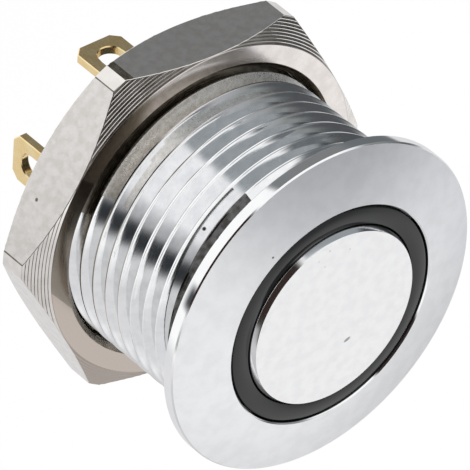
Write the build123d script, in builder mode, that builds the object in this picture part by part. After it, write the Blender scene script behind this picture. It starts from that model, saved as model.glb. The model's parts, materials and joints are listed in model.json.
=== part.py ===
"""Ring-lit panel push button, 16 mm size, with its panel nut and four solder lugs.

Millimetres, +Z along the button's own axis and out of the panel. The origin is the
centre of the flange's underside, where the flange rests on the panel.
"""

import os

from build123d import *

# Driving sizes
# Threaded barrel and flange
THREAD_DIA = 16.0          # outer diameter of the fine thread, pitch 1.0
THREAD_DEPTH = 0.615       # down to the root, which the relief groove shares
BARREL_WALL = 0.785        # metal between the thread's root and the bore
RELIEF_LEN = 0.85          # plain groove under the flange where the thread runs out
END_CHAMFER = 0.4          # lead-in at the barrel's rear end
END_RECESS = 0.3           # rear seal inside the barrel's end
FLANGE_OVERHANG = 1.4      # flange beyond the thread, all round
RIM_HEIGHT = 0.67          # straight rim of the flange
DOME_RISE = 0.80           # rise of the crowned face from rim to window
CROWN_BULGE = 0.045        # how far the face bows above a straight cone
LIP_OVERHANG = 0.35        # the window is this much inside the bore, all round
LIP_THICKNESS = 0.92       # face metal at the window, top to underside
EDGE_BREAK = 0.07          # sharp metal edges are broken this much

# Lit ring
RING_FACE_WIDTH = 1.15     # from the window's edge to the cap
RING_BELOW_EDGE = 0.07     # ring face below the window's edge
RING_CHAMFER = 0.12
RING_HEIGHT = 5.15         # face down to the feet on the lamp board
RING_NECK_HEIGHT = 2.0     # face down to the shoulder that stops the cap's flange

# Moving button
CAP_PROUD = 0.25           # cap top above the window's edge
CAP_EDGE = 0.13            # polished rounding of the cap's edge
CAP_PLATE = 0.87           # thickness of the cap's top
CAP_WALL = 0.6             # skirt wall
CAP_FLANGE_STEP = 0.36     # stop flange beyond the skirt, all round
CAP_FLANGE_HEIGHT = 0.6
TRAVEL = 1.3               # stroke of the button

# Clearances
SLIDE_GAP = 0.08           # cap in ring
GUIDE_GAP = 0.05           # stem in its guide
SEAT_GAP = 0.05            # assembled plastic pieces in the bore
SEAL_GAP = 0.03            # soft seal beside stem and groove
SLOT_GAP = 0.02            # sheet metal in its slots
STOP_GAP = 0.02            # axial play at stops

# Plunger, spring and seal
DISC_HEIGHT = 1.1          # disc of the plunger inside the cap
BOSS_HEIGHT = 0.65         # boss that centres the spring
STEM_DIA = 3.0
SHANK_STEP = 0.5           # shoulder that carries the contact bar
HEAD_OVERHANG = 0.35       # staked head beyond the shank, all round
HEAD_HEIGHT = 0.38
HEAD_CHAMFER = 0.15
WIRE_DIA = 0.4
WIRE_FLAT_COUNT = 8        # the wire is drawn with this many flats
COIL_DIA = 4.8             # mean diameter of the return spring
COIL_TURNS = 5.0
BOSS_PLAY = 0.2            # coil round the boss
COIL_PLAY = 0.15           # coil in its seat
SEAL_SECTION = 0.5         # square ring, cut on a lathe
SEAL_CHAMFER = 0.1

# Lamp board and lamps
BOARD_THICKNESS = 0.6
BOARD_HOLE_MARGIN = 0.55   # board's hole outside the spring seat, all round
NOTCH_DIA = 1.0            # keying notch in the board's rim
LAMP_LENGTH = 1.6
LAMP_WIDTH = 0.8
LAMP_HEIGHT = 0.6
LAMP_BASE = 0.22
LAMP_INSET = 0.55          # lamp's centre inside the board's rim
LAMP_COUNT = 4
LAMP_SIDE_GAP = 0.3        # beside a lamp in its window in the light guide
LAMP_TOP_GAP = 0.1
LENS_LENGTH = 1.1
LENS_ROUND = 0.08
RESISTOR_LENGTH = 2.0
RESISTOR_WIDTH = 1.25
RESISTOR_HEIGHT = 0.5
RESISTOR_EDGE = 0.05

# Contact block
SEAT_DEPTH = 0.6           # spring seat below the lamp board
GUIDE_LENGTH = 0.3
SEAL_POCKET_DEPTH = 0.65
CHAMBER_HEIGHT = 3.0
CHAMBER_PLAY = 0.3         # chamber beyond the ends of the bar
CHAMBER_WALL = 0.34        # between the chamber and the lugs
BAR_THICKNESS = 0.4
BAR_WIDTH = 2.4
TIP_DIA = 1.6
TIP_HEIGHT = 0.3
TIP_CHAMFER = 0.12
TIP_FROM_AXIS = 3.0        # centre of each contact tip
MADE_GAP = 0.05            # left between the tips at full stroke, contact made

# Terminal base, lugs and rear seal
BASE_THICKNESS = 2.5       # floor of the base under the contact pads
BASE_RIM_MARGIN = 0.36     # base's recess beyond the lugs
REAR_SEAL_THICKNESS = 0.4
LUG_WIDTH = 2.8
LUG_THICKNESS = 0.5
LUG_REACH = 5.5            # lug beyond the rear seal
LUG_CORNER = 0.45
SLOT_WIDTH = 1.4           # solder slot
SLOT_LENGTH = 2.2
SLOT_TO_TIP = 0.7
PAD_SHOULDER = 0.2         # contact pad narrower than the blade, each side
PAD_MARGIN = 0.1           # pad beyond the contact tip
BEND_RADIUS = 0.4          # outside of the bend at the pad
RISER_WIDTH = 1.2          # narrow upper part of a lamp lug
RISER_STEP = 0.8           # blade shoulders below the top of the base's floor
RISER_PROUD = 0.25         # riser above the lamp board

# Panel nut
NUT_OVER_FLANGE = 0.2      # nut wider across flats than the flange
NUT_CORNER_CUT = 0.22      # corners turned down this much, radially
NUT_CHAMFER_WIDTH = 1.28
NUT_CHAMFER_DEPTH = 0.8
NUT_DISTANCE = 8.8         # flange underside to the nut's front, as it sits
NUT_THICKNESS = 3.1
NUT_BORE_GAP = 0.06        # nut on thread, radial
NUT_BORE_CHAMFER = 0.32
NUT_TURN = -1.95           # degrees, as the nut happens to sit

# Derived sizes
thread_r = THREAD_DIA / 2
root_r = thread_r - THREAD_DEPTH
bore_r = root_r - BARREL_WALL
flange_r = thread_r + FLANGE_OVERHANG
window_r = bore_r - LIP_OVERHANG
window_z = RIM_HEIGHT + DOME_RISE
lip_z = window_z - LIP_THICKNESS
seated_r = bore_r - SEAT_GAP

ring_top = window_z - RING_BELOW_EDGE
ring_stop = ring_top - RING_NECK_HEIGHT
board_top = ring_top - RING_HEIGHT
board_bottom = board_top - BOARD_THICKNESS

cap_r = window_r - RING_FACE_WIDTH
cap_top = window_z + CAP_PROUD
cap_under = cap_top - CAP_PLATE
cap_inner_r = cap_r - CAP_WALL
cap_flange_r = cap_r + CAP_FLANGE_STEP
cap_flange_top = ring_stop - STOP_GAP
cap_foot = cap_flange_top - CAP_FLANGE_HEIGHT

ring_neck_r = window_r - SLIDE_GAP
ring_inner_r = cap_r + SLIDE_GAP
ring_tube_inner_r = cap_flange_r + SLIDE_GAP
lamp_from_axis = seated_r - LAMP_INSET
lamp_window_width = LAMP_LENGTH + 2 * LAMP_SIDE_GAP
lamp_window_height = LAMP_HEIGHT + LAMP_TOP_GAP

disc_bottom = cap_under - DISC_HEIGHT
boss_bottom = disc_bottom - BOSS_HEIGHT
coil_r = COIL_DIA / 2
boss_r = coil_r - WIRE_DIA / 2 - BOSS_PLAY
spring_seat_r = coil_r + WIRE_DIA / 2 + COIL_PLAY
board_hole_r = spring_seat_r + BOARD_HOLE_MARGIN
spring_seat = board_bottom - SEAT_DEPTH
guide_bottom = spring_seat - GUIDE_LENGTH
chamber_top = guide_bottom - SEAL_POCKET_DEPTH
chamber_bottom = chamber_top - CHAMBER_HEIGHT

stem_r = STEM_DIA / 2
shank_r = stem_r - SHANK_STEP
head_r = shank_r + HEAD_OVERHANG
guide_r = stem_r + GUIDE_GAP
seal_mid_r = stem_r + SEAL_GAP + SEAL_SECTION / 2
seal_pocket_r = stem_r + 2 * SEAL_GAP + SEAL_SECTION
seal_mid_z = guide_bottom - STOP_GAP - SEAL_SECTION / 2

tip_r = TIP_DIA / 2
bar_half_length = TIP_FROM_AXIS + tip_r
chamber_r = bar_half_length + CHAMBER_PLAY
fixed_tip_top = chamber_bottom + TIP_HEIGHT
bar_bottom = fixed_tip_top + MADE_GAP + TRAVEL + TIP_HEIGHT
bar_top = bar_bottom + BAR_THICKNESS
head_top = bar_bottom - STOP_GAP
plunger_end = head_top - HEAD_HEIGHT

lug_inner_r = chamber_r + CHAMBER_WALL
lug_outer_r = lug_inner_r + LUG_THICKNESS
lug_mid_r = lug_inner_r + LUG_THICKNESS / 2
pad_half_width = LUG_WIDTH / 2 - PAD_SHOULDER
pad_inner_r = TIP_FROM_AXIS - tip_r - PAD_MARGIN
base_rim_r = lug_outer_r + BASE_RIM_MARGIN
base_top = chamber_bottom - LUG_THICKNESS
base_bottom = base_top - BASE_THICKNESS
rear_seal_bottom = base_bottom - REAR_SEAL_THICKNESS
barrel_end = rear_seal_bottom - END_RECESS
lug_tip = rear_seal_bottom - LUG_REACH
riser_bottom = base_top - RISER_STEP
riser_top = board_top + RISER_PROUD
slot_mid_z = lug_tip + SLOT_TO_TIP + SLOT_LENGTH / 2

nut_flats = 2 * flange_r + NUT_OVER_FLANGE
nut_turned_r = nut_flats / 3**0.5 - NUT_CORNER_CUT
nut_face_r = nut_turned_r - NUT_CHAMFER_WIDTH
nut_front_z = -NUT_DISTANCE
nut_back_z = nut_front_z - NUT_THICKNESS
nut_bore_r = thread_r + NUT_BORE_GAP

# Direction of each lug round the axis, in degrees from +X
COMMON_LUG = -90.0
OPEN_LUG = 90.0
LAMP_PLUS_LUG = 0.0
LAMP_MINUS_LUG = 180.0
LAMP_ANGLES = (45.0, 135.0, 225.0, 315.0)


def around(angle, radius, z):
    """Place at a distance from the axis, turned so local +X points outward."""
    return Location((0, 0, 0), (0, 0, angle)) * Location((radius, 0, z))


def blade_outline(angle):
    """Plane of a lug's mid face: local x runs sideways, local y runs up the axis."""
    outward = Vector(1, 0, 0).rotate(Axis.Z, angle)
    sideways = Vector(0, 1, 0).rotate(Axis.Z, angle)
    return Plane(origin=outward * lug_mid_r, x_dir=sideways, z_dir=outward)


# Housing
with BuildPart() as housing:
    with BuildSketch(Plane.XZ) as wall:
        with BuildLine():
            crown = ThreePointArc(
                (window_r, window_z),
                (
                    (window_r + flange_r) / 2,
                    RIM_HEIGHT + DOME_RISE / 2 + CROWN_BULGE,
                ),
                (flange_r, RIM_HEIGHT),
            )
            Polyline(
                crown @ 1,
                (flange_r, 0),
                (root_r, 0),
                (root_r, -RELIEF_LEN),
                (thread_r, -RELIEF_LEN - (thread_r - root_r)),
                (thread_r, barrel_end + END_CHAMFER),
                (thread_r - END_CHAMFER, barrel_end),
                (bore_r, barrel_end),
                (bore_r, lip_z),
                (window_r, lip_z),
                crown @ 0,
            )
        make_face()
        # The sharp corners: both at the rim, and the window's front corner
        window_corner = wall.vertices().group_by(Axis.Y)[-1]
        rim_corners = wall.vertices().group_by(Axis.X)[-1]
        chamfer(window_corner + rim_corners, EDGE_BREAK)
    revolve(axis=Axis.Z)

# Panel nut
with BuildPart() as panel_nut:
    with BuildSketch(Plane.XY.offset(nut_back_z)):
        RegularPolygon(nut_flats / 2, 6, major_radius=False, rotation=NUT_TURN)
    extrude(amount=NUT_THICKNESS)
    # The turned envelope takes the corners off, with a cone at each end
    with BuildSketch(Plane.XZ):
        with BuildLine():
            Polyline(
                (nut_bore_r + NUT_BORE_CHAMFER, nut_front_z),
                (nut_face_r, nut_front_z),
                (nut_turned_r, nut_front_z - NUT_CHAMFER_DEPTH),
                (nut_turned_r, nut_back_z + NUT_CHAMFER_DEPTH),
                (nut_face_r, nut_back_z),
                (nut_bore_r + NUT_BORE_CHAMFER, nut_back_z),
                (nut_bore_r, nut_back_z + NUT_BORE_CHAMFER),
                (nut_bore_r, nut_front_z - NUT_BORE_CHAMFER),
                close=True,
            )
        make_face()
    revolve(axis=Axis.Z, mode=Mode.INTERSECT)

# Button cap
with BuildPart() as button_cap:
    with BuildSketch(Plane.XZ):
        with BuildLine():
            Polyline(
                (0, cap_top),
                (cap_r, cap_top),
                (cap_r, cap_flange_top),
                (cap_flange_r, cap_flange_top),
                (cap_flange_r, cap_foot),
                (cap_inner_r, cap_foot),
                (cap_inner_r, cap_under),
                (0, cap_under),
                close=True,
            )
        make_face()
    revolve(axis=Axis.Z)
    fillet(button_cap.edges().group_by(Axis.Z)[-1], CAP_EDGE)

# Lit ring
with BuildPart() as light_ring:
    with BuildSketch(Plane.XZ):
        with BuildLine():
            Polyline(
                (ring_inner_r, ring_top),
                (ring_neck_r - RING_CHAMFER, ring_top),
                (ring_neck_r, ring_top - RING_CHAMFER),
                (ring_neck_r, lip_z),
                (seated_r, lip_z),
                (seated_r, board_top),
                (ring_tube_inner_r, board_top),
                (ring_tube_inner_r, ring_stop),
                (ring_inner_r, ring_stop),
                close=True,
            )
        make_face()
    revolve(axis=Axis.Z)
    # A window over each lamp leaves four feet standing on the board
    with BuildSketch(Plane.XY.offset(board_top)):
        with PolarLocations(lamp_from_axis, LAMP_COUNT, start_angle=LAMP_ANGLES[0]):
            Rectangle(2 * (seated_r - ring_tube_inner_r), lamp_window_width)
    extrude(amount=lamp_window_height, mode=Mode.SUBTRACT)

# Plunger
with BuildPart() as plunger:
    with BuildSketch(Plane.XZ):
        with BuildLine():
            Polyline(
                (0, cap_under),
                (cap_inner_r - SEAT_GAP, cap_under),
                (cap_inner_r - SEAT_GAP, disc_bottom),
                (boss_r, disc_bottom),
                (boss_r, boss_bottom),
                (stem_r, boss_bottom),
                (stem_r, bar_top),
                (shank_r, bar_top),
                (shank_r, head_top),
                (head_r, head_top),
                (head_r, plunger_end),
                (0, plunger_end),
                close=True,
            )
        make_face()
    revolve(axis=Axis.Z)
    chamfer(plunger.edges().group_by(Axis.Z)[0], HEAD_CHAMFER)

# Return spring
spring_low = spring_seat + WIRE_DIA / 2
spring_high = disc_bottom - WIRE_DIA / 2
spring_rise = spring_high - spring_low
with BuildPart() as return_spring:
    with BuildLine() as coil:
        Helix(spring_rise / COIL_TURNS, spring_rise, coil_r, center=(0, 0, spring_low))
    with BuildSketch(Plane(origin=coil.line @ 0, z_dir=coil.line % 0)):
        RegularPolygon(WIRE_DIA / 2, WIRE_FLAT_COUNT)
    sweep(path=coil.line, is_frenet=True)

# Plunger seal
with BuildPart() as plunger_seal:
    with BuildSketch(Plane.XZ) as seal_section:
        with Locations((seal_mid_r, seal_mid_z)):
            Rectangle(SEAL_SECTION, SEAL_SECTION)
        chamfer(seal_section.vertices(), SEAL_CHAMFER)
    revolve(axis=Axis.Z)

# Lamp board
with BuildPart() as lamp_board:
    with BuildSketch(Plane.XY.offset(board_bottom)):
        Circle(seated_r)
        Circle(board_hole_r, mode=Mode.SUBTRACT)
        with PolarLocations(lug_mid_r, 2):
            Rectangle(
                LUG_THICKNESS + 2 * SLOT_GAP,
                RISER_WIDTH + 2 * SLOT_GAP,
                mode=Mode.SUBTRACT,
            )
        with Locations((0, seated_r)):
            Circle(NOTCH_DIA / 2, mode=Mode.SUBTRACT)
    extrude(amount=BOARD_THICKNESS)


def make_lamp(angle):
    """One surface-mounted lamp: a flat body with a narrower clear lens on it."""
    with BuildPart() as lamp:
        with Locations(around(angle, lamp_from_axis, board_top)):
            Box(
                LAMP_WIDTH,
                LAMP_LENGTH,
                LAMP_BASE,
                align=(Align.CENTER, Align.CENTER, Align.MIN),
            )
        with Locations(around(angle, lamp_from_axis, board_top + LAMP_BASE)):
            Box(
                LAMP_WIDTH,
                LENS_LENGTH,
                LAMP_HEIGHT - LAMP_BASE,
                align=(Align.CENTER, Align.CENTER, Align.MIN),
            )
        fillet(lamp.edges().group_by(Axis.Z)[-1], LENS_ROUND)
    return lamp


lamps = [make_lamp(angle) for angle in LAMP_ANGLES]

# Series resistor
with BuildPart() as series_resistor:
    with Locations(around(OPEN_LUG, lug_mid_r, board_top)):
        Box(
            RESISTOR_WIDTH,
            RESISTOR_LENGTH,
            RESISTOR_HEIGHT,
            align=(Align.CENTER, Align.CENTER, Align.MIN),
        )
    chamfer(series_resistor.edges().group_by(Axis.Z)[-1], RESISTOR_EDGE)

# Contact block
with BuildPart() as contact_block:
    with BuildSketch(Plane.XZ):
        with BuildLine():
            Polyline(
                (spring_seat_r, board_bottom),
                (seated_r, board_bottom),
                (seated_r, chamber_bottom),
                (chamber_r, chamber_bottom),
                (chamber_r, chamber_top),
                (seal_pocket_r, chamber_top),
                (seal_pocket_r, guide_bottom),
                (guide_r, guide_bottom),
                (guide_r, spring_seat),
                (spring_seat_r, spring_seat),
                close=True,
            )
        make_face()
    revolve(axis=Axis.Z)
    # Channels for the risers of the two lamp lugs
    with BuildSketch(Plane.XY.offset(chamber_bottom)):
        with PolarLocations(lug_mid_r, 2):
            Rectangle(LUG_THICKNESS + 2 * SLOT_GAP, RISER_WIDTH + 2 * SLOT_GAP)
    extrude(amount=board_bottom - chamber_bottom, mode=Mode.SUBTRACT)

# Terminal base
with BuildPart() as terminal_base:
    with BuildSketch(Plane.XY.offset(base_bottom)):
        Circle(seated_r)
    extrude(amount=chamber_bottom - base_bottom)
    with BuildSketch(Plane.XY.offset(base_top)):
        Circle(base_rim_r)
    extrude(amount=chamber_bottom - base_top, mode=Mode.SUBTRACT)
    # Full-width slots for the contact lugs, right through
    with BuildSketch(Plane.XY.offset(base_bottom)):
        with PolarLocations(lug_mid_r, 2, start_angle=OPEN_LUG):
            Rectangle(LUG_THICKNESS + 2 * SLOT_GAP, LUG_WIDTH + 2 * SLOT_GAP)
    extrude(amount=base_top - base_bottom, mode=Mode.SUBTRACT)
    # Stepped slots for the lamp lugs: wide below, narrow above
    with BuildSketch(Plane.XY.offset(base_bottom)):
        with PolarLocations(lug_mid_r, 2):
            Rectangle(LUG_THICKNESS + 2 * SLOT_GAP, LUG_WIDTH + 2 * SLOT_GAP)
    extrude(amount=riser_bottom + SLOT_GAP - base_bottom, mode=Mode.SUBTRACT)
    with BuildSketch(Plane.XY.offset(base_bottom)):
        with PolarLocations(lug_mid_r, 2):
            Rectangle(LUG_THICKNESS + 2 * SLOT_GAP, RISER_WIDTH + 2 * SLOT_GAP)
    extrude(amount=base_top - base_bottom, mode=Mode.SUBTRACT)

# Rear seal
with BuildPart() as rear_seal:
    with BuildSketch(Plane.XY.offset(rear_seal_bottom)):
        Circle(bore_r - SLOT_GAP)
        with PolarLocations(lug_mid_r, 4):
            Rectangle(
                LUG_THICKNESS + SLOT_GAP,
                LUG_WIDTH + SLOT_GAP,
                mode=Mode.SUBTRACT,
            )
    extrude(amount=base_bottom - rear_seal_bottom)


def blade_points(top_z, half_top, step_z):
    """Outline of a lug blade: clipped tip corners, straight sides, narrower top."""
    half = LUG_WIDTH / 2
    right = [
        (half - LUG_CORNER, lug_tip),
        (half, lug_tip + LUG_CORNER),
        (half, step_z),
        (half_top, step_z),
        (half_top, top_z),
    ]
    left = [(-x, z) for x, z in reversed(right)]
    return right + left


def make_contact_lug(angle):
    """Lug of the switch: blade, bent at a right angle into a contact pad."""
    with BuildPart() as lug:
        with BuildSketch(blade_outline(angle)):
            with BuildLine():
                Polyline(
                    *blade_points(chamber_bottom, pad_half_width, base_top - SLOT_GAP),
                    close=True,
                )
            make_face()
            with Locations((0, slot_mid_z)):
                SlotOverall(SLOT_LENGTH, SLOT_WIDTH, rotation=90, mode=Mode.SUBTRACT)
        extrude(amount=LUG_THICKNESS / 2, both=True)
        pad_length = lug_outer_r - pad_inner_r
        with Locations(around(angle, pad_inner_r + pad_length / 2, base_top)):
            Box(
                pad_length,
                2 * pad_half_width,
                chamber_bottom - base_top,
                align=(Align.CENTER, Align.CENTER, Align.MIN),
            )
        outward = Vector(1, 0, 0).rotate(Axis.Z, angle)
        top_edges = lug.edges().group_by(Axis.Z)[-1]
        bend = top_edges.sort_by(lambda edge: edge.center().dot(outward))[-1]
        fillet(bend, BEND_RADIUS)
    return lug


def make_lamp_lug(angle):
    """Lug of the lamp circuit: blade with a narrow riser up to the lamp board."""
    with BuildPart() as lug:
        with BuildSketch(blade_outline(angle)):
            with BuildLine():
                Polyline(*blade_points(riser_top, RISER_WIDTH / 2, riser_bottom), close=True)
            make_face()
            with Locations((0, slot_mid_z)):
                SlotOverall(SLOT_LENGTH, SLOT_WIDTH, rotation=90, mode=Mode.SUBTRACT)
        extrude(amount=LUG_THICKNESS / 2, both=True)
    return lug


contact_lug_common = make_contact_lug(COMMON_LUG)
contact_lug_open = make_contact_lug(OPEN_LUG)
lamp_lug_plus = make_lamp_lug(LAMP_PLUS_LUG)
lamp_lug_minus = make_lamp_lug(LAMP_MINUS_LUG)

# Moving contact bar
with BuildPart() as contact_bar:
    with BuildSketch(Plane.XY.offset(bar_bottom)):
        SlotOverall(2 * bar_half_length, BAR_WIDTH, rotation=90)
        Circle(shank_r + GUIDE_GAP, mode=Mode.SUBTRACT)
    extrude(amount=BAR_THICKNESS)


def make_tip(angle, seat_z, upward):
    """Silver contact tip: a low button with a broken rim, standing on its carrier."""
    base_z = seat_z if upward else seat_z - TIP_HEIGHT
    with BuildPart() as tip:
        with BuildSketch(Plane.XY.offset(base_z)):
            with Locations(around(angle, TIP_FROM_AXIS, 0)):
                Circle(tip_r)
        extrude(amount=TIP_HEIGHT)
        rim = tip.edges().group_by(Axis.Z)[-1 if upward else 0]
        chamfer(rim, TIP_CHAMFER)
    return tip


fixed_tip_common = make_tip(COMMON_LUG, chamber_bottom, upward=True)
fixed_tip_open = make_tip(OPEN_LUG, chamber_bottom, upward=True)
moving_tip_common = make_tip(COMMON_LUG, bar_bottom, upward=False)
moving_tip_open = make_tip(OPEN_LUG, bar_bottom, upward=False)

# Write the pieces
pieces = {
    "housing": housing,
    "panel_nut": panel_nut,
    "button_cap": button_cap,
    "light_ring": light_ring,
    "plunger": plunger,
    "return_spring": return_spring,
    "plunger_seal": plunger_seal,
    "lamp_board": lamp_board,
    "lamp_1": lamps[0],
    "lamp_2": lamps[1],
    "lamp_3": lamps[2],
    "lamp_4": lamps[3],
    "series_resistor": series_resistor,
    "contact_block": contact_block,
    "terminal_base": terminal_base,
    "rear_seal": rear_seal,
    "contact_lug_common": contact_lug_common,
    "contact_lug_open": contact_lug_open,
    "lamp_lug_plus": lamp_lug_plus,
    "lamp_lug_minus": lamp_lug_minus,
    "contact_bar": contact_bar,
    "fixed_tip_common": fixed_tip_common,
    "fixed_tip_open": fixed_tip_open,
    "moving_tip_common": moving_tip_common,
    "moving_tip_open": moving_tip_open,
}

os.makedirs("parts", exist_ok=True)
for label, piece in pieces.items():
    piece.part.label = label
    export_step(piece.part, f"parts/{label}.step")
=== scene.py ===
"""Dresses the ring-lit panel push button for the render.

Turned flange with a fine-threaded barrel, hex panel nut, satin cap in a smoky light ring, solder
lugs and the pieces inside. Sizes in this file are millimetres; they become metres in the meshes.
"""

import json
import logging
import math
from dataclasses import dataclass, field
from enum import Enum, IntEnum

import bmesh
import bpy
import numpy as np
from mathutils import Euler, Matrix, Vector

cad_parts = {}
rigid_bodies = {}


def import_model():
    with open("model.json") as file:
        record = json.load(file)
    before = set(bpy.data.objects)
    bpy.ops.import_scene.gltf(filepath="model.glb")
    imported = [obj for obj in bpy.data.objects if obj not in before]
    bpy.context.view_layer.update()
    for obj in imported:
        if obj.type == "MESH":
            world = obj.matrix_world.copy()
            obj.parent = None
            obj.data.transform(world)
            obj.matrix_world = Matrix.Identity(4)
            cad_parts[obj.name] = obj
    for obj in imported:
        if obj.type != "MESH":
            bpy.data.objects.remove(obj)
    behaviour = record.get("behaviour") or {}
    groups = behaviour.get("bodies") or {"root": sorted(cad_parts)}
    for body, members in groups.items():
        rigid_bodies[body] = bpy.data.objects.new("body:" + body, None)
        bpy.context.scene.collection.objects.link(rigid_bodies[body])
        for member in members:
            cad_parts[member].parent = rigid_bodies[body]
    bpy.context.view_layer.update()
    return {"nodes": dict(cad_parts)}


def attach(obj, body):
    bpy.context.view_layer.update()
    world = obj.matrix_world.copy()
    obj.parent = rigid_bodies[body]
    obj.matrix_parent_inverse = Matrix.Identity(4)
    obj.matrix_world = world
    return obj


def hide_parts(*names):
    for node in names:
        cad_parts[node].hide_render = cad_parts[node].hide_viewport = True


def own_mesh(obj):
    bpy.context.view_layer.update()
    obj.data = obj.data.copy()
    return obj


for leftover in list(bpy.data.objects):
    bpy.data.objects.remove(leftover, do_unlink=True)
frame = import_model()

LOG = logging.getLogger("push_button")
MM = 0.001
TURN = 2.0 * math.pi
FLANK = math.radians(30.0)
WELD = 0.2e-6
THIN = 0.1e-6
NOISE = (0.3, 0.7)
Colour = tuple[float, float, float]


class Body(Enum):
    """The three bodies of the CAD model."""

    BODY = "body"
    BUTTON = "button"
    NUT = "nut"


class Barrel(IntEnum):
    """Finishes of the housing, by number."""

    FACE = 0
    RIM = 1
    THREAD = 2
    # GROOVE: painted shade under the flange and over part of the run-out.
    GROOVE = 3
    WORN = 4
    # NUT_SHADE: painted shade on the thread beside the nut's face.
    NUT_SHADE = 5


class Nut(IntEnum):
    """Finishes of the nut, by number."""

    FLAT = 0
    TURNED = 1
    FACE = 2
    # BORE: painted shade in the bore, also used for painted dark reflection lines on two flats.
    BORE = 3
    # MARKS: painted shade in the ring marks.
    MARKS = 4


class Lay(Enum):
    """Which way the fine marks of a finish run."""

    TURNED = "rings round the axis"
    BRUSHED = "straight lines across"
    DRAWN = "lines along the axis"
    BLASTED = "no direction"


# Surfaces


@dataclass
class Surface:
    """One closed surface: its points, its faces and the number of the finish on each face.

    Fields:
        points: array of shape (n, 3), in millimetres.
        faces: array of shape (m, 4), four point numbers each, outward by the right hand.
        finish: array of shape (m,), which of the piece's finishes a face wears.
    """

    points: np.ndarray
    faces: np.ndarray
    finish: np.ndarray

    @staticmethod
    def joined(parts: list["Surface"]) -> "Surface":
        """Puts several surfaces into one mesh, with their point numbers shifted on.

        Args:
            parts: the surfaces, in order.

        Returns:
            One surface that holds them all.
        """
        starts = np.cumsum([0] + [len(part.points) for part in parts[:-1]])
        return Surface(
            np.vstack([part.points for part in parts]),
            np.vstack([part.faces + start for part, start in zip(parts, starts)]),
            np.concatenate([part.finish for part in parts]),
        )


def grid_faces(numbers: np.ndarray) -> np.ndarray:
    """Quads between neighbours of a grid of point numbers.

    Each face takes a number, the one in the next row, that one's right neighbour and the right
    neighbour of the first. Its normal is the row direction crossed with the column direction.

    Args:
        numbers: point numbers, shape (rows, columns).

    Returns:
        Faces of shape ((rows - 1) * (columns - 1), 4).
    """
    corners = (numbers[:-1, :-1], numbers[1:, :-1], numbers[1:, 1:], numbers[:-1, 1:])
    return np.stack(corners, axis=-1).reshape(-1, 4)


def turned(profile: np.ndarray, angles: np.ndarray) -> np.ndarray:
    """Carries a profile round the axis.

    A point is (r cos a, r sin a, z) for the profile's (r, z) and the angle a.

    Args:
        profile: radius and height, shape (rows, 2).
        angles: in radians, shape (columns,).

    Returns:
        Points of shape (rows, columns, 3).
    """
    radius, height = profile[:, :1], profile[:, 1:]
    return np.stack(
        np.broadcast_arrays(radius * np.cos(angles), radius * np.sin(angles), height + 0 * angles),
        axis=-1,
    )


def torus(points: np.ndarray, finish: np.ndarray | None = None) -> Surface:
    """Closes a grid of points both ways, as on a ring or on a plate with a hole.

    Args:
        points: shape (rows, columns, 3).
        finish: finish number of each row of faces, or None for 0 throughout.

    Returns:
        The closed surface.
    """
    rows, columns = points.shape[:2]
    numbers = np.arange(rows * columns).reshape(rows, columns)
    numbers = np.pad(numbers, ((0, 1), (0, 1)), mode="wrap")
    by_row = np.zeros(rows, int) if finish is None else finish
    return Surface(points.reshape(-1, 3), grid_faces(numbers), np.repeat(by_row, columns))


def rod(points: np.ndarray, finish: np.ndarray | None = None) -> Surface:
    """Closes a grid of points round its columns, with its first and last rows shrunk to poles.

    Args:
        points: shape (rows, columns, 3); the first and last rows each hold one repeated point.
        finish: finish number of each row of faces, or None for 0 throughout.

    Returns:
        The closed surface.
    """
    rows, columns = points.shape[:2]
    numbers = np.arange(rows * columns).reshape(rows, columns)
    numbers = np.pad(numbers, ((0, 0), (0, 1)), mode="wrap")
    by_row = np.zeros(rows - 1, int) if finish is None else finish
    return Surface(points.reshape(-1, 3), grid_faces(numbers), np.repeat(by_row, columns))


def full_turn(count: int) -> np.ndarray:
    """Angles of a full turn in even steps, the last one left off."""
    return np.arange(count) * (TURN / count)


def within(angles: np.ndarray, middle: float, half: float) -> np.ndarray:
    """Which angles, in radians, lie nearer than half to middle, both in degrees."""
    return np.cos(angles - math.radians(middle)) > math.cos(math.radians(half))


def capped(grid: np.ndarray) -> np.ndarray:
    """Grid with one more row at each end, shrunk to the middle of the end row."""
    ends = [np.broadcast_to(grid[at].mean(axis=0), grid[at].shape)[None] for at in (0, -1)]
    return np.concatenate([ends[0], grid, ends[1]])


def spun(radius: np.ndarray, angles: np.ndarray, height: np.ndarray) -> np.ndarray:
    """Points (r cos a, r sin a, z) of grids of radii and heights, shape (rows, columns, 3)."""
    return np.stack([radius * np.cos(angles), radius * np.sin(angles), height], axis=-1)


# Finishes


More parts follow.
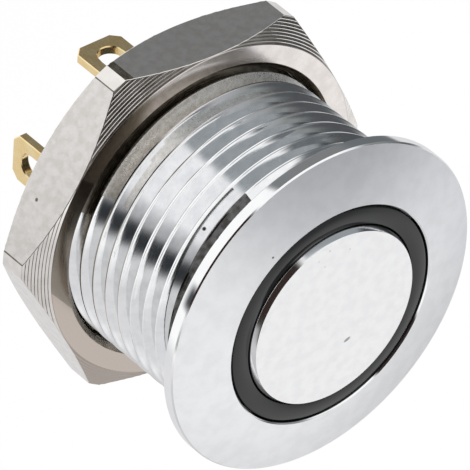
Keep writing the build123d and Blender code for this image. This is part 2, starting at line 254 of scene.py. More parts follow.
class Pen:
    """Draws the node tree of one material, node by node."""

    def __init__(self, name: str) -> None:
        """Starts an empty tree with an output and the object's own coordinates."""
        self.material = bpy.data.materials.new(name)
        self.material.use_nodes = True
        self.tree = self.material.node_tree
        self.tree.nodes.clear()
        self.output = self.tree.nodes.new("ShaderNodeOutputMaterial")
        self.place = self.tree.nodes.new("ShaderNodeTexCoord").outputs["Object"]

    @classmethod
    def on(cls, tree: bpy.types.NodeTree) -> "Pen":
        """A pen for a tree that exists already, emptied first."""
        pen = cls.__new__(cls)
        pen.tree = tree
        tree.nodes.clear()
        return pen

    def node(self, kind: str, inputs: dict | None = None, **settings: object) -> bpy.types.Node:
        """Adds a node.

        Args:
            kind: Blender's name of the node type.
            inputs: values or sockets for the node's inputs, by name or number.
            settings: the node's own properties.

        Returns:
            The node.
        """
        made = self.tree.nodes.new(kind)
        for name, value in settings.items():
            setattr(made, name, value)
        for key, value in (inputs or {}).items():
            if isinstance(value, bpy.types.NodeSocket):
                self.tree.links.new(value, made.inputs[key])
            else:
                made.inputs[key].default_value = value
        return made

    def maths(self, operation: str, first: object, second: object = 0.0) -> bpy.types.NodeSocket:
        """Result of one Math node."""
        return self.node("ShaderNodeMath", {0: first, 1: second}, operation=operation).outputs[0]

    def remap(
        self, value: object, low: float, high: float, to_low: float, to_high: float
    ) -> bpy.types.NodeSocket:
        """Value carried smoothly from one range to another and held at its ends."""
        inputs = {0: value, 1: low, 2: high, 3: to_low, 4: to_high}
        return self.node("ShaderNodeMapRange", inputs, interpolation_type="SMOOTHSTEP").outputs[0]

    def blend(self, share: object, first: object, second: object) -> bpy.types.NodeSocket:
        """Colour between two colours or colour sockets.

        Args:
            share: 0 gives the first, 1 the second.
            first: colour or socket.
            second: colour or socket.

        Returns:
            The colour socket.
        """
        as_colour = [value if isinstance(value, bpy.types.NodeSocket) else (*value, 1.0)
                     for value in (first, second)]
        inputs = {0: share, 6: as_colour[0], 7: as_colour[1]}
        return self.node("ShaderNodeMix", inputs, data_type="RGBA").outputs[2]

    def noise(
        self, size_mm: float, where: object = None, detail: float = 3.0, dimensions: str = "3D"
    ) -> bpy.types.NodeSocket:
        """Soft noise whose spots are about size_mm across."""
        inputs = {"Vector": where or self.place, "Scale": 1.0 / (size_mm * MM), "Detail": detail}
        return self.node("ShaderNodeTexNoise", inputs, noise_dimensions=dimensions).outputs[0]

    def marks(self, lay: Lay, fine_mm: float, long_mm: float) -> bpy.types.NodeSocket:
        """Height of the fine tool marks of a finish.

        Turned marks are noise over (distance from the axis, height), so they run round the axis.
        Brushed and drawn marks are noise stretched along one direction.

        Args:
            lay: which way the marks run.
            fine_mm: size across a mark.
            long_mm: length of a mark.

        Returns:
            The height, from 0 to 1.
        """
        if lay is Lay.BLASTED:
            return self.noise(fine_mm)
        if lay is Lay.TURNED:
            flat = self.node("ShaderNodeVectorMath", {0: self.place, 1: (1, 1, 0)},
                             operation="MULTIPLY").outputs[0]
            away = self.node("ShaderNodeVectorMath", {0: flat}, operation="LENGTH").outputs["Value"]
            height = self.node("ShaderNodeSeparateXYZ", {0: self.place}).outputs[2]
            where = self.node("ShaderNodeCombineXYZ", {0: away, 1: height}).outputs[0]
            return self.noise(fine_mm, where, 2.0)
        squeeze = fine_mm / long_mm
        scale = (1, 1, squeeze) if lay is Lay.DRAWN else (squeeze, 1, 1)
        spin = (0, 0, 0) if lay is Lay.DRAWN else (0, 0, math.radians(35))
        where = self.node("ShaderNodeMapping", {0: self.place, 2: spin, 3: scale}).outputs[0]
        return self.noise(fine_mm, where, 2.0)

    def specks(self, spacing_mm: float, size_mm: float, share: float) -> bpy.types.NodeSocket:
        """Sparse dark specks: 1 inside one, 0 elsewhere.

        A speck is where the distance to the nearest random point is small and that point's own
        random number is high.

        Args:
            spacing_mm: mean distance of the random points.
            size_mm: radius of a speck.
            share: share of the random points that get one.

        Returns:
            The mask.
        """
        cells = self.node("ShaderNodeTexVoronoi",
                          {"Vector": self.place, "Scale": 1.0 / (spacing_mm * MM)})
        near = self.remap(cells.outputs["Distance"], 0.6 * size_mm / spacing_mm,
                          size_mm / spacing_mm, 1.0, 0.0)
        pick = self.node("ShaderNodeSeparateColor", {0: cells.outputs["Color"]}).outputs[0]
        return self.maths("MULTIPLY", near, self.maths("GREATER_THAN", pick, 1.0 - share))

    def bump(self, height: object, depth_um: float, strength: float = 1.0) -> bpy.types.NodeSocket:
        """Normal from a height, with its depth in thousandths of a millimetre."""
        inputs = {"Height": height, "Distance": depth_um * MM * 0.001, "Strength": strength}
        return self.node("ShaderNodeBump", inputs).outputs[0]

    def finish(self, **inputs: object) -> bpy.types.Material:
        """Ends the tree in a Principled shader.

        Args:
            inputs: its inputs, with spaces in their names written as underscores.

        Returns:
            The material.
        """
        named = {name.replace("_", " "): value for name, value in inputs.items()}
        shader = self.node("ShaderNodeBsdfPrincipled", named)
        self.tree.links.new(shader.outputs[0], self.output.inputs[0])
        return self.material


@dataclass(frozen=True)
class Fleck:
    """One dark fleck of wear.

    Fields:
        place: its middle, in millimetres.
        half: half its length and half its width.
        turn: of its length from the x axis, in degrees.
        share: how dark it is, from 0 to 1.
    """

    place: tuple[float, float, float]
    half: tuple[float, float] = (0.06, 0.06)
    turn: float = 0.0
    share: float = 0.5

    def mask(self, pen: Pen) -> bpy.types.NodeSocket:
        """Where the fleck is, from the length of the place scaled by the fleck's own size."""
        long, wide = (value * MM for value in self.half)
        where = pen.node("ShaderNodeMapping", {
            0: pen.place, 1: tuple(value * MM for value in self.place),
            2: (0, 0, math.radians(self.turn)), 3: (long, wide, max(long, wide)),
        }, vector_type="TEXTURE").outputs[0]
        away = pen.node("ShaderNodeVectorMath", {0: where}, operation="LENGTH").outputs["Value"]
        return pen.remap(away, 0.7, 1.2, self.share, 0.0)


@dataclass(frozen=True)
class PaintedShade:
    """Painted shade on a face, ended by straight lines across it: a darker tone that stands in for
    a dark reflection.

    Fields:
        colour: of the shaded part.
        lines: for each line the direction across it to the shaded side, of length 1 in x and y, its
            distance from the axis and half the width of its soft edge, in millimetres.
    """

    colour: Colour
    lines: tuple[tuple[float, float, float, float], ...]

    def over(self, pen: Pen, tone: bpy.types.NodeSocket) -> bpy.types.NodeSocket:
        """Tone with the painted shade on it, where every line's shaded side holds."""
        share: object = 1.0
        for x, y, start, soft in self.lines:
            side = pen.node("ShaderNodeVectorMath", {0: pen.place, 1: (x, y, 0.0)},
                            operation="DOT_PRODUCT").outputs["Value"]
            # Painted shade: 1 on the shaded side of this line.
            shaded = pen.remap(side, (start - soft) * MM, (start + soft) * MM, 0.0, 1.0)
            share = pen.maths("MULTIPLY", share, shaded)
        return pen.blend(share, tone, self.colour)


@dataclass(frozen=True)
class Metal:
    """Metal surface: clouds of two tones, fine tool marks and a few specks.

    Fields:
        name: of the material.
        colour: main colour, linear.
        cloud: colour of the clouds.
        cloud_mm: size of the clouds.
        rough: lowest and highest roughness, over the marks.
        lay: which way the marks run.
        fine_mm, long_mm: width and length of a mark.
        depth_um: depth of the marks.
        speck_share: share of random points that carry a dark speck.
        speck_mm: distance of the random points and radius of a speck.
        speck_rough: roughness of a speck.
        dirt: colour of specks and flecks.
        flecks: single flecks of wear.
        painted_shades: painted shade on parts of the surface.
    """

    name: str
    colour: Colour
    cloud: Colour
    cloud_mm: float = 2.0
    rough: tuple[float, float] = (0.2, 0.3)
    lay: Lay = Lay.BLASTED
    fine_mm: float = 0.05
    long_mm: float = 1.0
    depth_um: float = 0.5
    speck_share: float = 0.0
    speck_mm: tuple[float, float] = (1.1, 0.045)
    speck_rough: float = 0.8
    dirt: Colour = (0.03, 0.028, 0.025)
    flecks: tuple[Fleck, ...] = ()
    painted_shades: tuple[PaintedShade, ...] = ()

    def make(self) -> bpy.types.Material:
        """Draws the material."""
        pen = Pen(self.name)
        clouds = pen.remap(pen.noise(self.cloud_mm, detail=5.0), 0.35, 0.68, 0.0, 1.0)
        tone = pen.blend(clouds, self.colour, self.cloud)
        grain = pen.marks(self.lay, self.fine_mm, self.long_mm)
        rough = pen.remap(grain, *NOISE, *self.rough)
        if self.speck_share:
            specks = pen.specks(*self.speck_mm, self.speck_share)
            tone = pen.blend(specks, tone, self.dirt)
            rough = pen.maths("MAXIMUM", rough, pen.maths("MULTIPLY", specks, self.speck_rough))
        # Painted shade laid over the tone.
        for painted_shade in self.painted_shades:
            tone = painted_shade.over(pen, tone)
        for fleck in self.flecks:
            tone = pen.blend(fleck.mask(pen), tone, self.dirt)
        return pen.finish(Base_Color=tone, Metallic=1.0, Roughness=rough,
                          Normal=pen.bump(grain, self.depth_um))


@dataclass(frozen=True)
class Plastic:
    """Moulded or cast plastic: slight mottling, a fine skin and a little dust.

    Fields:
        name: of the material.
        colour, mottle: main colour and that of the mottling, linear.
        rough: lowest and highest roughness, over the skin.
        skin_mm, depth_um: size and depth of the skin's grain.
        dust: share of dust where it lies thickest.
        through: share of light that enters the surface.
        gloss: specular level.
        mottle_mm, dust_mm: size of the mottling and of the dust's spots.
        dust_colour: of the dust.
    """

    name: str
    colour: Colour
    mottle: Colour
    rough: tuple[float, float] = (0.35, 0.5)
    skin_mm: float = 0.08
    depth_um: float = 1.5
    dust: float = 0.1
    through: float = 0.0
    gloss: float = 0.5
    mottle_mm: float = 1.2
    dust_mm: float = 0.3
    dust_colour: Colour = (0.5, 0.5, 0.48)

    def make(self) -> bpy.types.Material:
        """Draws the material."""
        pen = Pen(self.name)
        mottled = pen.blend(pen.noise(self.mottle_mm, detail=4.0), self.colour, self.mottle)
        settled = pen.remap(pen.noise(self.dust_mm, detail=6.0), 0.62, 0.8, 0.0, self.dust)
        tone = pen.blend(settled, mottled, self.dust_colour)
        skin = pen.noise(self.skin_mm)
        return pen.finish(Base_Color=tone, Roughness=pen.remap(skin, *NOISE, *self.rough),
                          Normal=pen.bump(skin, self.depth_um), IOR=1.5,
                          Specular_IOR_Level=self.gloss,
                          Subsurface_Weight=self.through, Subsurface_Scale=0.001)


class Finishes:
    """Every finish of the button, each made once."""

    def __init__(self) -> None:
        """Makes the materials."""
        steel, shade = (0.87, 0.875, 0.89), (0.84, 0.846, 0.865)
        nickel, olive = (0.90, 0.87, 0.845), (0.80, 0.77, 0.735)
        self.flange = Metal("flange_satin", steel, (0.82, 0.825, 0.84), 0.9, (0.30, 0.38),
                            Lay.BLASTED, 0.09, depth_um=3.5, speck_share=0.06,
                            flecks=(Fleck((3.98, -5.38, 1.38), share=0.9),)).make()
        self.rim = Metal("rim_polished", (0.97, 0.975, 0.98), (0.93, 0.935, 0.945), 1.5,
                         (0.04, 0.08), Lay.TURNED, 0.05, depth_um=0.12).make()
        self.thread = Metal("thread_bright", (0.97, 0.975, 0.98), (0.90, 0.905, 0.915), 0.6,
                            (0.05, 0.10), Lay.TURNED, 0.05, depth_um=0.3, speck_share=0.05,
                            flecks=(Fleck((5.40, -5.48, -2.2), (0.12, 0.12), share=1.0),)).make()
        self.worn = Metal("thread_worn", (0.95, 0.925, 0.885), (0.78, 0.75, 0.70), 0.25,
                          (0.25, 0.45), Lay.BLASTED, 0.06, depth_um=3.0).make()
        # Painted shade: near-black steel for the corner under the flange and part of the run-out,
        # where shade falls.
        self.groove = Metal("run_out_groove_painted_shade", (0.14, 0.14, 0.14), (0.06, 0.055, 0.05), 0.35,
                            (0.12, 0.3), Lay.TURNED, 0.06, depth_um=1.0).make()
        worn_cap = (Fleck((-0.93, 1.81, 1.72), (0.22, 0.1), 21.0, 0.6),
                    Fleck((0.61, -4.47, 1.72), share=0.25), Fleck((-0.69, -4.0, 1.72), share=0.2),
                    Fleck((1.28, -4.09, 1.72), share=0.15), Fleck((0.86, -3.59, 1.72), share=0.2))
        self.cap = Metal("cap_satin", (0.92, 0.92, 0.925), (0.87, 0.87, 0.88), 0.6, (0.28, 0.36),
                         Lay.BRUSHED, 0.06, 0.3, 0.5, 0.03, flecks=worn_cap).make()
        self.cap_edge = Metal("cap_edge_polished", (0.90, 0.90, 0.905), shade, 1.0, (0.06, 0.12),
                              Lay.TURNED, 0.05, depth_um=0.2).make()
        self.nut_flat = Metal("nut_flat_nickel", nickel, olive, 0.5, (0.12, 0.20), Lay.BRUSHED,
                              0.04, 0.5, 0.8, 0.03,
                              flecks=(Fleck((9.05, -3.45, -10.75), (0.1, 0.1), share=0.8),)).make()
        self.nut_turned = Metal("nut_turned_nickel", nickel, (0.80, 0.765, 0.73), 0.9,
                                (0.05, 0.10), Lay.TURNED, 0.04, depth_um=0.2,
                                speck_share=0.02).make()
        # Painted shade on the nut's front face: two darker tones over parts of the annulus stand in
        # for the dark thread that it mirrors.
        painted_shades = (PaintedShade((0.51, 0.447, 0.398), ((0.759, 0.651, 7.83, 0.04),)),
                 PaintedShade((0.34, 0.30, 0.25), ((-0.759, -0.651, -7.83, 0.04),
                                           (0.951, -0.309, 6.2, 0.6))))
        self.nut_face = Metal("nut_face_nickel", (0.85, 0.80, 0.78), (0.76, 0.71, 0.68), 0.8,
                              (0.12, 0.22), Lay.TURNED, 0.05, depth_um=0.5,
                              speck_share=0.03, painted_shades=painted_shades).make()
        # Painted shade for the nut's bore and for the thread beside the nut's face, and painted
        # dark reflection lines on two flats.
        self.nut_bore = Metal("nut_bore_painted_shade", (0.32, 0.285, 0.235), (0.19, 0.165, 0.13), 0.4,
                              (0.2, 0.35), Lay.TURNED, 0.05, depth_um=0.8).make()
        # Painted shade: darker tone for the ring marks of three corners, where shade falls in the
        # grooves.
        self.nut_marks = Metal("nut_marks_painted_shade", (0.50, 0.45, 0.40), (0.30, 0.26, 0.22), 0.5,
                               (0.2, 0.35), Lay.TURNED, 0.05, depth_um=0.5).make()
        self.gold = Metal("lug_gold_plate", (1.0, 0.81, 0.46), (0.98, 0.73, 0.35), 0.7,
                          (0.14, 0.26), Lay.DRAWN, 0.05, 0.6, 0.6, 0.02).make()
        self.copper = Metal("bar_copper", (0.78, 0.52, 0.38), (0.66, 0.42, 0.30), 0.6,
                            (0.2, 0.35), Lay.BRUSHED, 0.05, 0.8, 0.6).make()
        self.silver = Metal("tip_silver", (0.87, 0.86, 0.84), (0.76, 0.74, 0.70), 0.4,
                            (0.12, 0.25), Lay.TURNED, 0.04, depth_um=0.4).make()
        self.wire = Metal("spring_wire", (0.62, 0.62, 0.63), (0.50, 0.50, 0.51), 0.5,
                          (0.15, 0.3), Lay.BLASTED, 0.05, depth_um=0.5).make()
        self.smoke = Plastic("ring_smoke", (0.012, 0.0125, 0.013), (0.016, 0.0165, 0.017),
                             (0.05, 0.12), 0.06, 0.3, 0.01, gloss=0.36).make()
        self.natural = Plastic("plunger_natural", (0.80, 0.79, 0.74), (0.74, 0.73, 0.67),
                               through=0.15).make()
        self.block = Plastic("block_black", (0.045, 0.045, 0.05), (0.06, 0.06, 0.062)).make()
        self.base = Plastic("base_black", (0.04, 0.04, 0.043), (0.055, 0.054, 0.055)).make()
        self.resin = Plastic("seal_resin", (0.022, 0.022, 0.024), (0.03, 0.03, 0.031),
                             (0.12, 0.3), 0.4, 6.0).make()
        self.rubber = Plastic("seal_rubber", (0.15, 0.045, 0.035), (0.12, 0.04, 0.03),
                              (0.6, 0.75)).make()
        self.board = Plastic("board_white", (0.80, 0.81, 0.78), (0.72, 0.74, 0.70),
                             (0.3, 0.45)).make()
        self.lamp = Plastic("lamp_lens", (0.90, 0.84, 0.55), (0.93, 0.90, 0.72), (0.12, 0.25),
                            through=0.3).make()
        self.chip = Plastic("resistor_coat", (0.02, 0.02, 0.022), (0.03, 0.03, 0.032),
                            (0.2, 0.3)).make()

    def of_node(self) -> dict[str, bpy.types.Material]:
        """Finish of every CAD node that shows as it is."""
        lamps = {f"lamp_{number}": self.lamp for number in (1, 2, 3, 4)}
        tips = {f"{kind}_tip_{side}": self.silver
                for kind in ("moving", "fixed") for side in ("common", "open")}
        return lamps | tips | {
            "plunger": self.natural, "plunger_seal": self.rubber, "lamp_board": self.board,
            "series_resistor": self.chip, "contact_block": self.block,
            "terminal_base": self.base, "rear_seal": self.resin, "contact_bar": self.copper,
        }


# Pieces


@dataclass
class SubAssembly:
    """What every sub-assembly shares: the finishes, and putting a surface on its body."""

    finishes: Finishes

    def put(
        self,
        name: str,
        surface: Surface,
        body: Body,
        slot: str,
        node: str,
        wears: list[bpy.types.Material],
        crease: float = 25.0,
    ) -> bpy.types.Object:
        """Makes a piece of a surface and puts it in place of a CAD node.

        Args:
            name: of the piece.
            surface: in millimetres.
            body: that it rides on.
            slot: the record's material slot; not used.
            node: the CAD node that it stands for.
            wears: its finishes, in the order of the surface's finish numbers.
            crease: edges sharper than this many degrees stay sharp.

        Returns:
            The object.
        """
        mesh = bpy.data.meshes.new(name)
        mesh.vertices.add(len(surface.points))
        mesh.vertices.foreach_set("co", (surface.points * MM).astype(np.float32).ravel())
        mesh.loops.add(surface.faces.size)
        mesh.loops.foreach_set("vertex_index", surface.faces.astype(np.int32).ravel())
        mesh.polygons.add(len(surface.faces))
        mesh.polygons.foreach_set("loop_start", np.arange(0, surface.faces.size, 4, np.int32))
        mesh.polygons.foreach_set("material_index", surface.finish.astype(np.int32))
        mesh.update(calc_edges=True)
        welded = bmesh.new()
        welded.from_mesh(mesh)
        bmesh.ops.remove_doubles(welded, verts=welded.verts, dist=WELD)
        bmesh.ops.dissolve_degenerate(welded, edges=welded.edges, dist=THIN)
        welded.to_mesh(mesh)
        welded.free()
        mesh.polygons.foreach_set("use_smooth", np.ones(len(mesh.polygons), bool))
        mesh.set_sharp_from_angle(angle=math.radians(crease))
        for material in wears:
            mesh.materials.append(material)
        piece = bpy.data.objects.new(name, mesh)
        bpy.context.scene.collection.objects.link(piece)
        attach(piece, body.value)
        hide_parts(node)
        LOG.info("%s: %d points, %d faces, on %s", name, len(mesh.vertices),
                 len(mesh.polygons), body.value)
        return piece


@dataclass
class Thread:
    """Single-start right-hand thread of 60 degrees, as a radius over the axis' height.

    Fields:
        pitch: height gained in one turn.
        crest_r, root_r: radius at the crest and at the root.
        crest: width of the flat crest.
        front_soft: rounding of the crest's front edge.
        rear_soft: rounding of the crest's rear edge.
        lean: how much lower the crest's rear edge lies than its front edge.
        fillet: rounding between flank and root.
        fillet_lead: distance before the fillet of one more point on the flank.
        start: height of one crest's middle at angle zero.
    """

    pitch: float = 1.0
    crest_r: float = 8.0
    root_r: float = 7.345
    crest: float = 0.14
    front_soft: float = 0.006
    rear_soft: float = 0.02
    lean: float = 0.022
    fillet: float = 0.006
    fillet_lead: float = 0.012
    start: float = -2.386

    def side(self, soft: float, lean: float) -> np.ndarray:
        """One side of the ridge, from the crest's middle to the root's middle.

        From the crest's flat the flank falls to the root's flat, slightly hollow near the crest.
        The corner of the crest is cut back by soft on both sides, with two points between.

        Args:
            soft: rounding of the crest's edge.
            lean: how far the crest has sunk at this side's edge, against its middle.

        Returns:
            Share of the pitch and radius, shape (n, 2).
        """
        half = self.crest / 2
        drop = self.root_r - self.crest_r
        run = -drop * math.tan(FLANK)
        foot, fillet = half + run, self.fillet
        lead = fillet + self.fillet_lead
        tip = self.crest_r - lean
        return np.array([
            (0.0, self.crest_r - 0.5 * self.lean),
            (half - soft, tip),
            (half - 0.2 * soft, tip + 0.12 * drop * soft / run),
            (half + 0.45 * soft, tip + 0.58 * drop * soft / run),
            (half + soft, tip + drop * soft / run),
            (half + 0.125 * run, self.crest_r + 0.16 * drop),
            (half + 0.35 * run, self.crest_r + 0.37 * drop),
            (half + 0.65 * run, self.crest_r + 0.65 * drop),
            (foot - lead, self.root_r - drop * lead / run),
            (foot - fillet, self.root_r - drop * fillet / run),
            (foot, self.root_r - 0.3 * drop * fillet / run),
            (foot + fillet, self.root_r),
            (0.5, self.root_r),
        ])

    def stations(self) -> tuple[np.ndarray, np.ndarray]:
        """Places along one pitch, from crest middle to crest middle, and their radii.

        Returns:
            The places, as shares of the pitch from 0 to just under 1, and the radii.
        """
        rear, front = self.side(self.rear_soft, self.lean), self.side(self.front_soft, 0.0)[-2:0:-1]
        front[:, 0] = 1.0 - front[:, 0]
        both = np.vstack([rear, front])
        return both[:, 0], both[:, 1]

    def rows(self, top: float, bottom: float, angles: np.ndarray) -> tuple[np.ndarray, ...]:
        """Height and radius of the thread between two heights, with the rows in helical order.

        Row s and angle a have the height s + pitch times a over a full turn, held between bottom
        and top. The radius is read from the phase of that held height, so every row that is held
        lands on the same edge.

        Args:
            top: upper end.
            bottom: lower end.
            angles: in radians, over one turn.

        Returns:
            Heights and radii of shape (rows, columns), and the rows in one pitch.
        """
        place, radius = self.stations()
        turns = np.arange(math.ceil((top - bottom) / self.pitch) + 3)
        first = self.start + self.pitch * (math.ceil((top - self.start) / self.pitch) + 1)
        along = (first - self.pitch * (turns[:, None] + place[None, :])).ravel()
        lead = self.pitch * angles / TURN
        height = np.clip(along[:, None] + lead[None, :], bottom, top)
        phase = np.mod((self.start + lead - height) / self.pitch, 1.0)
        knots = np.append(place, 1.0)
        values = np.append(radius, radius[0])
        return height, np.interp(phase, knots, values), len(place)

    @staticmethod
    def numbers(rows: int, columns: int, per_pitch: int, first: int) -> np.ndarray:
        """Point numbers of helical rows, where the last column runs on one pitch further up.

        Args:
            rows: count of rows.
            columns: count of columns.
            per_pitch: rows in one pitch.
            first: number of the first point.

        Returns:
            Numbers of shape (rows, columns + 1).
        """
        numbers = first + np.arange(rows * columns).reshape(rows, columns)
        seam = numbers[np.clip(np.arange(rows) - per_pitch, 0, None), 0]
        return np.column_stack([numbers, seam])


@dataclass
class Housing(SubAssembly):
    """Flange, window, relief groove and threaded barrel, turned in one piece.

    Fields:
        thread: of the barrel.
        flange_r, rim: radius of the flange and height of its rim.
        rise, bulge: height of the face's inner edge above the rim, and its crown.
        window_r, bore_r, lip_z: radii of the window and the bore, and the lip between them.
        bore_row: height of one more row in the bore.
        edge, corner: size of the broken edges and of the rounded corner under the flange.
        relief: height below the flange at which the thread starts.
        barrel_end, lead_in: rear end of the barrel and depth of its chamfer.
        groove_shade_above, groove_shade_sector: from how many pitches over the first crest the
            run-out gets the groove's painted shade, and where: the middle and half the width, in
            degrees.
        worn_z, worn_flank, worn_sector: height below which the nut has worn the thread, how much
            higher that goes on rear flanks, and where.
        nut_shade_z, nut_shade_flank, nut_shade_sector: the same for the painted shade beside the
        nut's face.
        used_depth: how far below the painted shade's edge both finishes go.
        rear_rows: rows of a pitch between which the rear flank lies.
        columns: points in one turn.
    """

    thread: Thread = field(default_factory=Thread)
    flange_r: float = 9.4
    rim: float = 0.67
    rise: float = 0.80
    bulge: float = 0.045
    window_r: float = 6.25
    bore_r: float = 6.6
    lip_z: float = 0.55
    bore_row: float = -6.0
    edge: float = 0.07
    corner: float = 0.06
    relief: float = 0.85
    barrel_end: float = -12.6
    lead_in: float = 0.4
    groove_shade_above: float = 0.9
    groove_shade_sector: tuple[float, float] = (-20.0, 46.0)
    worn_z: float = -7.85
    worn_flank: float = 1.2
    worn_sector: tuple[float, float] = (-95.0, 62.0)
    nut_shade_z: float = -8.72
    nut_shade_flank: float = 0.6
    nut_shade_sector: tuple[float, float] = (-115.0, 93.0)
    used_depth: float = 0.9
    rear_rows: tuple[int, int] = (2, 12)
    columns: int = 240

    def face(self, steps: int = 24) -> np.ndarray:
        """Crowned face from the window to the rim.

        The height falls evenly from window to rim, plus bulge times four t (1 - t), where t is the
        share of the way.

        Args:
            steps: number of points.

        Returns:
            Profile points of shape (steps, 2).
        """
        inner, outer = self.window_r + self.edge, self.flange_r - self.edge
        radius = np.linspace(inner, outer, steps)
        share = (radius - self.window_r) / (self.flange_r - self.window_r)
        height = self.rim + self.rise * (1 - share) + 4 * self.bulge * share * (1 - share)
        return np.column_stack([radius, height])

    def profile(self) -> tuple[np.ndarray, np.ndarray]:
        """Turned profile from the barrel's rear end through the bore, over the face and rim.

        A broken edge has a point on each side and one or two between, at shares of its size.

        Returns:
            Profile points from bore to relief groove, and the finish of each row of faces.
        """
        face = self.face()
        edge, corner, root = self.edge, self.corner, self.thread.root_r
        over_window = np.array([(self.window_r, face[0, 1] - 1.08 * edge),
                                (self.window_r + 0.04 * edge, face[0, 1] - 0.95 * edge),
                                (self.window_r + 0.86 * edge, face[0, 1] - 0.12 * edge)])
        over_rim = face[-1] + np.array([0.1, 0.9, 1.0])[:, None] * (
            np.array([self.flange_r, self.rim - 0.8 * edge]) - face[-1])
        under_rim = np.array([(self.flange_r, 1.08 * edge),
                              (self.flange_r - 0.02 * edge, 0.93 * edge),
                              (self.flange_r - 0.93 * edge, 0.02 * edge),
                              (self.flange_r - 1.08 * edge, 0.0)])
        bore = [(self.bore_r, self.barrel_end), (self.bore_r, self.bore_row),
                (self.bore_r, self.lip_z), (self.window_r, self.lip_z)]
        groove = [(root + corner, 0.0), (root + 0.3 * corner, -0.3 * corner), (root, -corner)]
        parts = [np.array(bore), over_window, face, over_rim, under_rim, np.array(groove)]
        points = np.vstack(parts)
        lengths = np.cumsum([len(part) for part in parts])
        finish = np.full(len(points), Barrel.RIM)
        finish[lengths[1]:lengths[2] - 1] = Barrel.FACE
        # The corner under the flange takes the groove's painted shade.
        finish[lengths[4]:] = Barrel.GROOVE
        return points, finish

    def wear(self, barrel: np.ndarray, height: np.ndarray, angles: np.ndarray,
             per_pitch: int) -> None:
        """Gives the thread painted shade over part of its run-out, its worn band at the nut's place
        and painted shade beside the nut.

        Args:
            barrel: finish numbers of the thread's faces, shape (rows, columns), changed in place.
            height: of the faces' first points, of the same shape.
            angles: of the columns, in radians.
            per_pitch: rows in one pitch.
        """
        in_pitch = (np.arange(len(height)) % per_pitch)[:, None]
        rear = (in_pitch > self.rear_rows[0]) & (in_pitch < self.rear_rows[1])
        used = height > self.nut_shade_z - self.used_depth
        # Worn band, then painted shade beside the nut's face, each below a height, higher on rear
        # flanks and within a sector.
        for finish, below, flank, sector in (
            (Barrel.WORN, self.worn_z, self.worn_flank, self.worn_sector),
            (Barrel.NUT_SHADE, self.nut_shade_z, self.nut_shade_flank, self.nut_shade_sector),
        ):
            low = (height < below) | (rear & (height < below + flank))
            barrel[low & used & within(angles, *sector)] = finish
        # Painted shade over part of the run-out near the flange, within a sector.
        turned_by = (np.mod(angles + math.pi, TURN) - math.pi) / TURN
        above = (height - self.thread.start) / self.thread.pitch - turned_by
        barrel[(above > self.groove_shade_above) & within(angles, *self.groove_shade_sector)] = Barrel.GROOVE

    def surface(self) -> Surface:
        """Whole housing: the helical thread's rows joined to the turned rows at both ends.

        Returns:
            The closed surface, with the finishes of Barrel.
        """
        angles = full_turn(self.columns)
        height, radius, per_pitch = self.thread.rows(-self.relief, self.barrel_end, angles)
        run_out = self.thread.root_r + (-self.relief - height)
        lead_in = self.thread.crest_r - self.lead_in + (height - self.barrel_end)
        radius = np.minimum(radius, np.minimum(run_out, lead_in))
        threaded = spun(radius, angles, height)
        profile, finish = self.profile()
        plain = turned(profile, angles)
        rows, columns = len(profile), self.columns
        plain_numbers = np.arange(rows * columns).reshape(rows, columns)
        plain_numbers = np.column_stack([plain_numbers, plain_numbers[:, :1]])
        helical = Thread.numbers(len(height), columns, per_pitch, rows * columns)
        numbers = np.vstack([plain_numbers, helical, plain_numbers[:1]])
        by_row = np.append(finish, np.full(len(height), Barrel.THREAD))
        by_face = np.repeat(by_row[:, None], columns, axis=1)
        self.wear(by_face[rows:], height, angles, per_pitch)
        return Surface(np.vstack([plain.reshape(-1, 3), threaded.reshape(-1, 3)]),
                       grid_faces(numbers), by_face.ravel())

    def build(self) -> None:
        """Makes the housing."""
        made = self.finishes
        self.put("turned_housing", self.surface(), Body.BODY, "flange_metal", "housing",
                 [made.flange, made.rim, made.thread, made.groove, made.worn, made.nut_bore])


